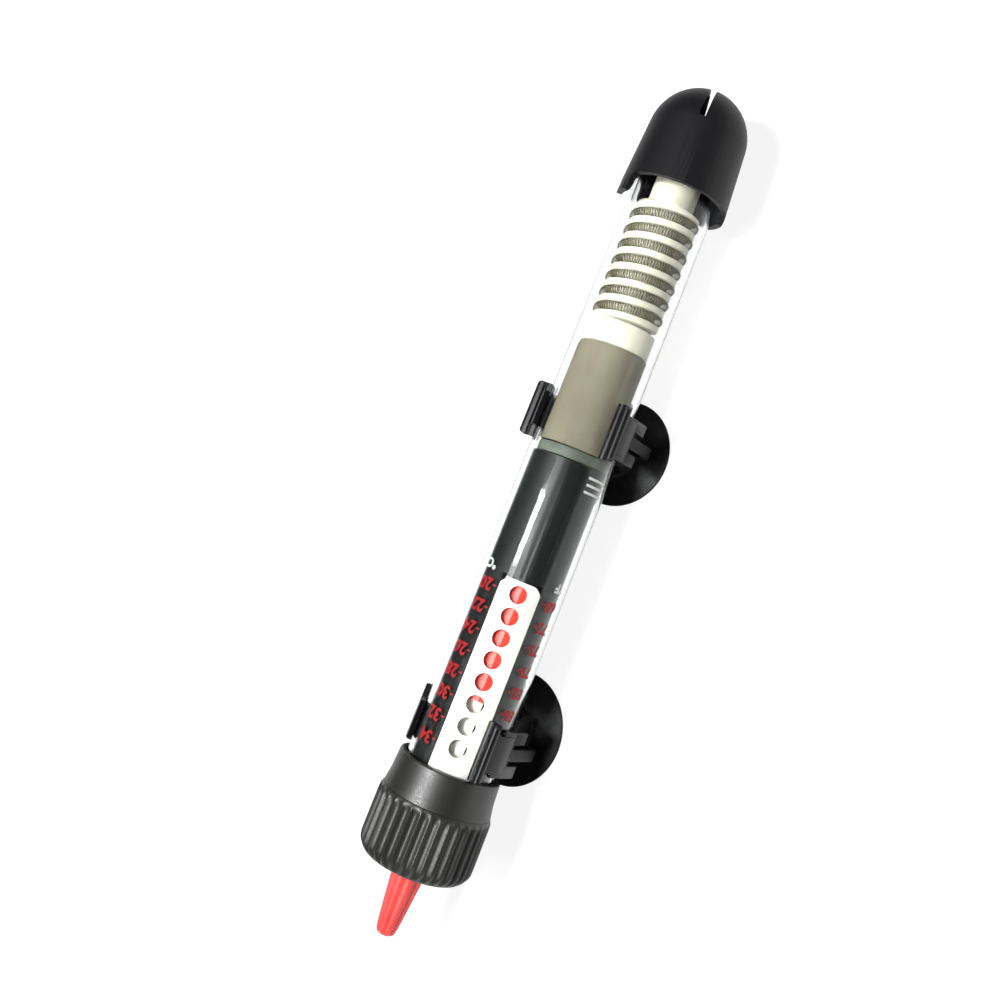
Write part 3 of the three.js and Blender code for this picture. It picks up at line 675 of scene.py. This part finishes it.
def coil_leads():
    """Bare wires along the back of the glass, from the coil's ends to the control section."""
    ends = (("a", COIL_START - 2, FRONT + 190), ("b", COIL_START + COIL_TURNS * COIL_PITCH, FRONT + 160))
    for end, start, degrees in ends:
        points = [at(start + (LEAD_END - start) * k / 12, LEAD_ORBIT, degrees) for k in range(13)]
        place(tube(f"lead_{end}", points, LEAD_R, 10), STEEL, "heater", "steel", f"coil_lead_{end}")


def heat_shield():
    """A sheet rolled twice round; its outer corner is cut off slantwise at the crown side."""
    turns = 2
    thick = 0.28
    steps = 240
    end_degrees = FRONT - 82
    slant = 36
    drop = 1.5
    vertices = []
    for k in range(steps + 1):
        degrees = end_degrees + turns * 360 * (1 - k / steps)
        outer = SLEEVE_R - 0.6 * (1 - k / steps)
        cut = drop * max(0, 1 - (degrees - end_degrees) / slant)
        top = SLEEVE[0] + cut
        inner = outer - thick
        for distance, radius in ((top, outer), (SLEEVE[1], outer), (SLEEVE[1], inner), (top, inner)):
            vertices.append(at(distance, radius, degrees))
    faces = [(0, 1, 2, 3), tuple(4 * steps + c for c in range(4))]
    for k in range(steps):
        for c in range(4):
            n = (c + 1) % 4
            faces.append((4 * k + c, 4 * k + n, 4 * k + 4 + n, 4 * k + 4 + c))
    sheet = mesh_object("rolled_shield", vertices, faces)
    place(sheet, SHIELD, "heater", "heat_shield", "heat_shield_sleeve")


def spacer_disc():
    begin, end = SLEEVE[1] + GAP, CONTROL[0] - GAP
    outline = [(begin, 0, 0), (begin, BULKHEAD_R), (end, BULKHEAD_R), (end, 0, 0)]
    spacer = turned("spacer_disc", rounded(outline, 0.4), 96, closed=False)
    place(spacer, SPACER, "heater", "ceramic", "divider_disc")


# ---------------------------------------------------------------- control section
def disc(name, begin, end, radius, segments=96):
    return turned(name, [(begin, 0), (begin, radius), (end, radius), (end, 0)], segments, closed=False)


def control_frame():
    """Open shell with two bulkheads, a deck, and a lip over the slide; ridges run along its front."""
    begin, end = CONTROL
    low, high = FRAME_SPAN
    inner = CONTROL_R - FRAME_WALL
    beside = PLATE_HALF + 2
    start = PLATE[0] - 0.6
    shell = wall("control_shell", begin, start, inner, CONTROL_R, low, high)
    lip = (FRONT - LIP_HALF, FRONT + LIP_HALF)
    parts = [
        wall("left_side", start - 1, end, inner, CONTROL_R, low, FRONT - beside),
        wall("right_side", start - 1, end, inner, CONTROL_R, FRONT + beside, high),
        disc("bulkhead", begin, begin + BULKHEAD, BULKHEAD_R),
        disc("bulkhead", end - BULKHEAD, end, BULKHEAD_R),
        block("deck", begin, end, *DECK, *DECK_SIDES),
        wall("lip", start - 1, PLATE[0] + 0.9, LIP_R, 9.78, *lip),
        wall("lip_root", start - 1, start, LIP_R, inner + 0.5, *lip),
    ]
    for turn in (-24, 3, 25):
        ridge = (CONTROL_R - 0.5, CONTROL_R + 0.15, -0.5, 0.5, FRONT + turn)
        parts.append(block("ridge", begin + 1, start - 0.5, *ridge))
    combine(shell, parts, "UNION")
    combine(shell, [disc("bore", end - BULKHEAD - 1, end + 1, SPINDLE_R + GAP, 48)], "DIFFERENCE")
    place(bevel(shell, 0.15, 2, 50), FRAME, "heater", "frame_plastic", "control_frame")


def slab(name, outline, out_from, out_to):
    """An outline of (distance, side) carried outwards in the front direction."""
    matrix = turned_frame(FRONT)
    sides = [[matrix @ Vector((CROWN_X - d, -s, out)) for d, s in outline] for out in (out_from, out_to)]
    return prism(name, *sides)


def scale_plate():
    """White plate with a row of round windows, over an open-sided channel with a white back."""
    inner = PLATE_R - PLATE_THICK
    begin, end = PLATE
    plate = wall("scale_window_plate", begin, end, inner, PLATE_R, FRONT - PLATE_HALF, FRONT + PLATE_HALF)
    half = PLATE_R * math.sin(math.radians(PLATE_HALF)) + 0.2
    chamfer = 1.9
    outline = [(begin, half - chamfer, 0.8), (begin + chamfer, half, 0.8), (end + 1, half), (end + 1, -half),
               (begin + chamfer, -half, 0.8), (begin, chamfer - half, 0.8)]
    combine(plate, [slab("plate_outline", rounded(outline, 0), 2, 14)], "INTERSECT")
    holes = []
    for i in range(WINDOWS):
        place_at = outward(WINDOW_FIRST + WINDOW_PITCH * i, FRONT)
        outline = [(inner - 1, 0), (inner - 1, WINDOW_R), (13, WINDOW_R), (13, 0)]
        holes.append(pin("window", outline, place_at))
    combine(plate, holes, "DIFFERENCE")
    bevel(plate, 0.22, 3, 50)
    place(plate, WHITE, "heater", "white_plastic", "scale_plate")
    floor_r = CHANNEL_R - CHANNEL_THICK
    side = wall("channel_side", begin, end, floor_r, inner + 0.1, FRONT - 28, FRONT - 24)
    back = wall("channel_back", begin, end, floor_r, CHANNEL_R, FRONT - 25, FRONT + 14)
    place(bevel(combine(side, [back], "UNION"), 0.12), WHITE, "heater", "white_plastic")


def indicator_slide():
    """Curved strip behind the windows, with a nut on a web at its cap end."""
    outer = PLATE_R - PLATE_THICK - GAP
    inner = outer - SLIDE_THICK
    begin, end = NUT
    strip = wall("indicator_strip", *SLIDE, inner, outer, FRONT - SLIDE_HALF, FRONT + SLIDE_HALF)
    parts = [disc("nut", begin, end, NUT_R, 48), block("web", begin, end, 0.6, inner + 0.2, 2.25, 3.05)]
    combine(strip, parts, "UNION")
    combine(strip, [disc("bore", begin - 1, end + 1, SCREW_R + GAP, 48)], "DIFFERENCE")
    place(bevel(strip, 0.2, 2, 50), RED, "indicator", "red_plastic", "indicator_slide")


def small_block(name, spans, material, body, slot, node, width=0.2):
    place(bevel(block(name, *spans), width), material, body, slot, node)


def rivet(name, distance, low, high, radius, material, body, node):
    outline = [(low, 0, 0), (low, radius, 0.1), (high, radius, 0.5), (high, 0, 0)]
    height = rounded(outline, 0.2)
    place(pin(name, height, outward(distance, FRONT), 40), material, body, "steel", node)


def thermostat():
    """Bimetal strip, contacts, snap magnet and setting blade on the deck, and the electrical parts."""
    deck = DECK[1] + GAP
    small_block("strip_post", (120, 124, deck, -1.6, -2.5, 2.5), BRASS, "heater", "brass", "bimetal_post")
    small_block("bimetal", (120, 152, -1.3, -0.7, -2.5, 2.5), STEEL, "bimetal", "steel", "bimetal_strip",
                width=0.12)
    rivet("contact_moving", 146, -2.4, -1.6, 1.3, STEEL, "bimetal", "moving_contact")
    rivet("contact_fixed", 146, deck, -2.7, 1.3, STEEL, "heater", "fixed_contact")
    small_block("snap_magnet", (149, 152, deck, -2.2, -2, 2), STEEL, "heater", "steel", "magnet")
    small_block("screw_post", (120, 124, deck, 1, -6, -3.5), BRASS, "heater", "brass", "blade_post")
    blade = block("blade", 120, 124, 1.3, 1.8, -6, 2)
    combine(blade, [block("blade_arm", 123, 150, 1.3, 1.8, -2, 2)], "UNION")
    place(bevel(blade, 0.1), STEEL, "heater", "steel", "setting_blade")
    lamp = rounded([(0, 0, 0), (0, 1.2, 0.4), (1, 1.9, 0.6), (8.2, 1.9, 1.2), (9, 0.5, 0.3), (9, 0, 0)], 0.3)
    place(pin("neon_bulb", lamp, lengthwise(126, -1.5, 5.2)), LAMP, "heater", "lamp_glass", "neon_lamp")
    body = rounded([(0, 0, 0), (0, 0.8, 0.3), (0.8, 1.1, 0.3), (2, 0.9, 0.3), (5, 0.9, 0.3), (6.2, 1.1, 0.3),
                    (7, 0.8, 0.3), (7, 0, 0)], 0.3)
    resistor = pin("resistor", body, lengthwise(137, -2.3, 5.2), 40)
    place(resistor, RESISTOR, "heater", "resistor_body", "lamp_resistor")
    for name, side in (("a", -6.2), ("b", 3.2)):
        spans = (197, 203, deck, -0.8, side, side + 3)
        small_block(f"terminal_block_{name}", spans, BRASS, "heater", "brass", f"terminal_{name}")


# ---------------------------------------------------------------- printing on the glass
def print_on_glass(obj, material, distance, degrees):
    """Bends a flat shape (x to the right, y up, knob end up) round the glass and gives it a thin body."""
    bm = bmesh.new()
    bm.from_mesh(obj.data)
    reach = max(abs(v.co.x) for v in bm.verts)
    for k in range(-12, 13):
        x = k * 0.35
        if abs(x) < reach:
            geometry = bm.verts[:] + bm.edges[:] + bm.faces[:]
            bmesh.ops.bisect_plane(bm, geom=geometry, plane_co=(x, 0, 0), plane_no=(1, 0, 0))
    for vertex in bm.verts:
        turn = degrees - math.degrees(vertex.co.x / GLASS_R)
        vertex.co = at(distance + vertex.co.y, GLASS_R + 0.01, turn)
    bmesh.ops.recalc_face_normals(bm, faces=bm.faces)
    bm.to_mesh(obj.data)
    bm.free()
    middle = obj.data.polygons[0]
    out = middle.center - Vector((middle.center.x, 0, AXIS_Z))
    if middle.normal.dot(out) < 0:
        obj.data.flip_normals()
    modifier = obj.modifiers.new("ink", "SOLIDIFY")
    modifier.thickness = 0.03
    modifier.offset = 1
    settle(obj)
    place(obj, material, "heater", "glass", smooth=30)


def lettering(name, text, size, material, distance, degrees):
    curve = bpy.data.curves.new(name, "FONT")
    curve.body = text
    curve.size = size
    curve.align_x = "CENTER"
    curve.align_y = "CENTER"
    curve.resolution_u = 3
    curve.offset = 0.15
    source = bpy.data.objects.new(name, curve)
    bpy.context.scene.collection.objects.link(source)
    graph = bpy.context.evaluated_depsgraph_get()
    mesh = bpy.data.meshes.new_from_object(source.evaluated_get(graph))
    bpy.data.objects.remove(source)
    obj = bpy.data.objects.new(name, mesh)
    bpy.context.scene.collection.objects.link(obj)
    print_on_glass(obj, material, distance, degrees)


def bar(name, width, height, material, distance, degrees):
    outline = rounded([(-width / 2, -height / 2), (width / 2, -height / 2), (width / 2, height / 2),
                       (-width / 2, height / 2)], 0.1)
    obj = mesh_object(name, [(p[0], p[1], 0) for p in outline], [tuple(range(len(outline)))])
    print_on_glass(obj, material, distance, degrees)


def printing():
    """Numbers and ticks beside each window, the two degree signs, and three bars near the divider."""
    for i in range(WINDOWS):
        distance = WINDOW_FIRST + WINDOW_PITCH * i
        degrees_c = 20 + 2 * i
        lettering(f"celsius_{degrees_c}", str(degrees_c), 4.7, INK_RED, distance, CELSIUS)
        bar(f"celsius_tick_{degrees_c}", 1.1, 0.45, INK_RED, distance, FRONT - 33)
        degrees_f = round(degrees_c * 1.8 + 32)
        lettering(f"fahrenheit_{degrees_f}", str(degrees_f), 4.2, INK_RED, distance, FAHRENHEIT)
        bar(f"fahrenheit_tick_{degrees_f}", 1.1, 0.45, INK_RED, distance, FRONT + 36)
    lettering("celsius_sign", "°C", 3.6, INK_WHITE, SIGNS, CELSIUS - 3)
    lettering("fahrenheit_sign", "°F", 3.6, INK_WHITE, SIGNS, FAHRENHEIT + 3)
    for i in range(3):
        bar(f"level_mark_{i}", 7, 0.7, INK_WHITE, 119.4 + 2 * i, FRONT + 46)


# ---------------------------------------------------------------- cap and knob
def cap_collar():
    """Smooth sleeve that grips the glass; its spigot carries the ribbed cap."""
    bore = GLASS_R + 0.35
    begin, end = COLLAR
    spigot_end, spigot_r = SPIGOT
    outline = [(begin, bore), (begin, COLLAR_RIM_R, 0.5), (*COLLAR_WAIST, 3), (end, COLLAR_END_R, 0.1),
               (end, spigot_r), (spigot_end, spigot_r), (spigot_end, bore)]
    sleeve = turned("cap_collar_sleeve", rounded(outline, 0.3), 160)
    place(sleeve, CAP_BLACK, "heater", "cap_plastic", "cap_collar")


def ribbed_cap():
    """Screw cap with rounded ribs that fade out on its shoulder and at its end."""
    begin, end = CAP

    def ribbed(distance, radius, degrees):
        if radius < 14.5:
            return radius
        wave = 0.5 - 0.5 * math.cos(math.radians(CAP_RIBS * (degrees - FRONT)))
        fade = min(1, max(0, (distance - begin - 0.7) / 1.2)) * min(1, max(0, (end - 0.2 - distance) / 1.5))
        return radius - CAP_RIB_DEPTH * wave ** 0.45 * fade

    shoulder = [(begin, 15.36), (begin + 0.4, 15.55), (begin + 1, 15.85), (begin + 1.9, CAP_R - 0.02)]
    side = [(begin + 3 + k, CAP_R) for k in range(11)]
    edge = [(228.6, CAP_R - 0.05), (229.4, CAP_R - 0.3), (230.2, CAP_R - 0.75), (231, CAP_R - 1.45),
            (231.6, CAP_R - 2.2), (end, CAP_R - 3), (end, 3.3), (CAP_WALL, 3.3), (CAP_WALL, CAP_BORE_R),
            (begin, CAP_BORE_R)]
    cap = turned("screw_cap", shoulder + side + edge, CAP_RIBS * 14, radius_at=ribbed)
    hole_r = GLAND_R + GAP
    hole = [(-3, 0), (-3, hole_r), (12, hole_r), (12, 0)]
    combine(cap, [pin("gland_hole", hole, lengthwise(224, GLAND_OFFSET, 0))], "DIFFERENCE")
    place(cap, CAP_BLACK, "heater", "cap_plastic", "ribbed_cap", smooth=40)


def cord_gland():
    """Rubber gland with an open bore; the cord isn't part of the model."""
    length = 6.3
    outline = [(0, GLAND_BORE_R), (0, GLAND_R), (length, GLAND_R, 0.5), (length, GLAND_BORE_R, 0.4)]
    gland = pin("cord_gland_ring", rounded(outline, 0.15), lengthwise(CAP_WALL, GLAND_OFFSET, 0), 64)
    place(gland, RUBBER, "heater", "rubber", "cord_gland")


def stopper():
    """Rubber plug in the glass's mouth, with a flange over the rim and two holes for wires."""
    inner = GLASS_R - GLASS_WALL - GAP
    begin, flange, end = 209, 222.3, 224.9
    bore, flange_r = SPINDLE_R + GAP, 12.3
    outline = [(begin, bore), (begin, 10.5, 0.8), (begin + 1.5, inner, 0.5), (flange, inner, 0.2),
               (flange, flange_r), (end, flange_r), (end, bore)]
    body = turned("glass_stopper", rounded(outline, 0.3), 96)
    holes = [pin("wire_hole", [(0, 0), (0, 0.8), (20, 0.8), (20, 0)], lengthwise(207, -7.8, side), 24)
             for side in (-1.9, 1.9)]
    place(combine(body, holes, "DIFFERENCE"), RUBBER, "heater", "rubber", "rubber_stopper")


def knob():
    """Tapered grip with narrow flutes and a rounded tip."""
    base, tip = KNOB
    socket_r = SPINDLE_R + GAP

    def fluted(distance, radius, degrees):
        if radius <= socket_r and distance <= KNOB_SOCKET:
            return radius
        wave = 0.5 + 0.5 * math.cos(math.radians(KNOB_FLUTES * (degrees - FRONT)))
        fade = min(1, max(0.15, (distance - base) / 1.2))
        return radius * (1 - 0.12 * fade * wave ** 1.4)

    side = [(236, KNOB_R - 0.05), (238, KNOB_R - 0.3), (240, KNOB_R - 0.53), (242, 3.85), (244, 3.6),
            (246, 3.35), (248, 3.07), (tip - 2, KNOB_TIP_R)]
    rounding = ((1.4, 0.12), (0.9, 0.35), (0.5, 0.7), (0.2, 1.15), (0.05, 1.8), (0, KNOB_TIP_R))
    side += [(tip - back, KNOB_TIP_R - off) for back, off in rounding]
    outline = [(KNOB_SOCKET, 0), (KNOB_SOCKET, socket_r), (base, socket_r), (base, KNOB_R - 0.25),
               (base + 0.25, KNOB_R - 0.05), (base + 1, KNOB_R)] + side
    grip = turned("adjuster_grip", outline, KNOB_FLUTES * 16, closed=False, radius_at=fluted)
    place(grip, KNOB_RED, "adjuster", "knob_plastic", "adjuster_knob", smooth=50)


def spindle():
    """Shaft from the knob to the screw, with a bush in the cap and a rubber ring behind it."""
    begin, end = SPINDLE
    bush_from, bush_to, bush_in, bush_out = 230.2, 231.8, 2.1, 3.1
    seal_at, seal_orbit, seal_r = 228.6, 2.65, 0.55
    bush = [(bush_from, bush_in), (bush_from, bush_out), (bush_to, bush_out), (bush_to, bush_in)]
    place(turned("bush", rounded(bush, 0.2), 64), BRASS, "heater", "brass", "spindle_bush")
    turns = [2 * math.pi * k / 20 for k in range(20)]
    seal = [(seal_at + seal_r * math.cos(t), seal_orbit + seal_r * math.sin(t)) for t in turns]
    place(turned("seal", seal, 64), RUBBER, "adjuster", "rubber", "spindle_seal")
    shaft = rounded([(begin, 0, 0), (begin, SPINDLE_R), (end, SPINDLE_R), (end, 0, 0)], 0.3)
    place(turned("shaft", shaft, 64, closed=False), STEEL, "adjuster", "steel", "spindle")


def lead_screw():
    """A screw with a fine thread along its whole length."""
    begin, end = SCREW
    steps = int((end - begin) / SCREW_PITCH * 8)
    core_r = 1.1

    def threaded(distance, radius, degrees):
        phase = ((distance - begin) / SCREW_PITCH + degrees / 360) % 1
        return min(radius, SCREW_R - 0.28 * abs(2 * phase - 1))

    outline = [(begin, 0), (begin, core_r)]
    outline += [(begin + 0.2 + (end - begin - 0.4) * k / steps, SCREW_R) for k in range(steps + 1)]
    outline += [(end, core_r), (end, 0)]
    screw = turned("thread", outline, 32, closed=False, radius_at=threaded)
    place(screw, STEEL, "adjuster", "steel", "lead_screw", smooth=60)


# ---------------------------------------------------------------- clips and suction cups
def ear(name, centre, degrees):
    """Finger grip at the end of a clip's arm, with rounded corners and a groove along each face."""
    half = EAR_WIDTH / 2
    corner = 1.5
    inner = CLIP_R - CLIP_WALL + 0.1
    top = EAR_R - 1.2
    steps = 30
    outline = []
    for k in range(steps + 1):
        out = inner + (top - inner) * k / steps
        off = out - top + 1.5
        dip = max(0, math.cos(math.pi * off / 1.3)) if abs(off) < 0.65 else 0
        outline.append((out, EAR_HALF_THICK - 0.45 * dip))
    for turn in (0.3, 0.6, 0.9, 1.2, 1.45):
        outline.append((top + EAR_HALF_THICK * math.sin(turn), EAR_HALF_THICK * math.cos(turn)))
    both = outline + [(out, -side) for out, side in outline[::-1]]

    def reach(out):
        over = max(0, out - (EAR_R - corner))
        return half - corner + math.sqrt(max(0, corner * corner - over * over))

    matrix = turned_frame(degrees)
    ends = [[matrix @ Vector((CROWN_X - centre - sign * reach(out), s, out)) for out, s in both]
            for sign in (-1, 1)]
    return prism(name, *ends)


def bracket(centre, shift):
    """Channel under the clip's ring; its foot is set off along the tube by the shift."""
    half, thick = 8, 1.8
    top_z = 12.8
    low, top = FOOT_LOW - AXIS_Z, top_z - AXIS_Z
    inside = half - thick
    outline = [(-half, top, 0), (-half, low, 1.6), (half, low, 1.6), (half, top, 0), (inside, top, 0),
               (inside, low + thick, 1.2), (-inside, low + thick, 1.2), (-inside, top, 0)]
    foot = swept("bracket", rounded(outline, 0), centre - 5.5, centre + 5.5)
    for vertex in foot.data.vertices:
        vertex.co.x += shift * min(1, max(0, (top_z - vertex.co.z) / 4))
    return foot


def fingers(centre, side):
    """Three fingers hang from one side of the ring; the middle one turns in and joins the bracket's plate."""
    low = FOOT_LOW - AXIS_Z
    out, inner, lean = 13.9, CLIP_R - CLIP_WALL, 1.3
    top, root, end, half, width = 2, -4, -10.8, 6.3, 3.4
    back = out - CLIP_WALL
    middle = [(out, root + 1), (back, root + 1), (back - lean, low + 1.8, 1), (7, low + 1.8), (7, low),
              (out - lean, low, 1.8)]
    short = [(out, root + 1), (back, root + 1), (back - lean / 2, end, 0.3), (out - lean / 2, end, 0.9)]
    web = [(out, top), (inner, top), (inner, root), (out, root)]
    spans = ((middle, -width / 2, width / 2), (short, -half, width - half), (short, half - width, half),
             (web, -half, half))
    pieces = []
    for outline, begin, finish in spans:
        shape = [(-side * p[0], p[1]) for p in rounded(outline, 0)]
        pieces.append(bevel(swept("finger", shape, centre + begin, centre + finish), 0.4, 4, 60))
    return pieces


def clip(end, centre, shift, ears, tip):
    """The ring runs from the second ear under the tube, past the first ear to its free tip."""
    half = CLIP_WIDTH / 2
    inner = CLIP_R - CLIP_WALL
    ring = wall(f"clip_{end}_ring", centre - half, centre + half, inner, CLIP_R, ears[1], tip + 360)
    foot = Matrix.Translation((CROWN_X - centre + shift, 0, 0))
    boss = [(FOOT_LOW, 0), (FOOT_LOW, 4.6), (7.2, 4.6), (7.2, 0)]
    parts = [ear("ear", centre, degrees) for degrees in ears]
    parts += [bracket(centre, shift), pin("boss", boss, foot)] + fingers(centre, 1) + fingers(centre, -1)
    combine(ring, parts, "UNION")
    hole = [(3, 0), (3, STEM_R), (9, STEM_R), (9, 0)]
    combine(ring, [pin("stem_hole", hole, foot)], "DIFFERENCE")
    place(bevel(ring, 0.25, 3, 50), CLIP_BLACK, f"{end}_clip", "clip_plastic", f"clip_{end}")


def suction_cup(end, x):
    """Cup with a thin lip, a neck that passes the clip's hole, and a mushroom head above it."""
    neck = STEM_R - 0.4
    outline = [(2, 0, 0), (1.7, 6), (1.2, 10), (0.1, 14), (0, CUP_R - 0.3), (0.35, CUP_R),
               (0.75, CUP_R - 0.15), (1.9, 12), (3.2, 8.3), (4.2, 7.6), (4.2, neck), (6.7, neck), (7, 4.1),
               (8.4, 3.9), (9.2, neck), (9.2, 0, 0)]
    cup = pin(f"cup_{end}", rounded(outline, 0.4), Matrix.Translation((x, 0, 0)), 128)
    place(cup, RUBBER, f"{end}_cup", "rubber", f"suction_cup_{end}", smooth=60)


# ---------------------------------------------------------------- assembly
camera()
studio()
floor()
end_guard()
glass_tube()
ceramic_core()
heating_coil()
coil_leads()
heat_shield()
spacer_disc()
control_frame()
scale_plate()
indicator_slide()
thermostat()
printing()
cap_collar()
ribbed_cap()
cord_gland()
stopper()
knob()
spindle()
lead_screw()
for holder_end, holder_centre, holder_shift, holder_ears, holder_tip in HOLDERS:
    clip(holder_end, holder_centre, holder_shift, holder_ears, holder_tip)
    suction_cup(holder_end, CROWN_X - holder_centre + holder_shift)
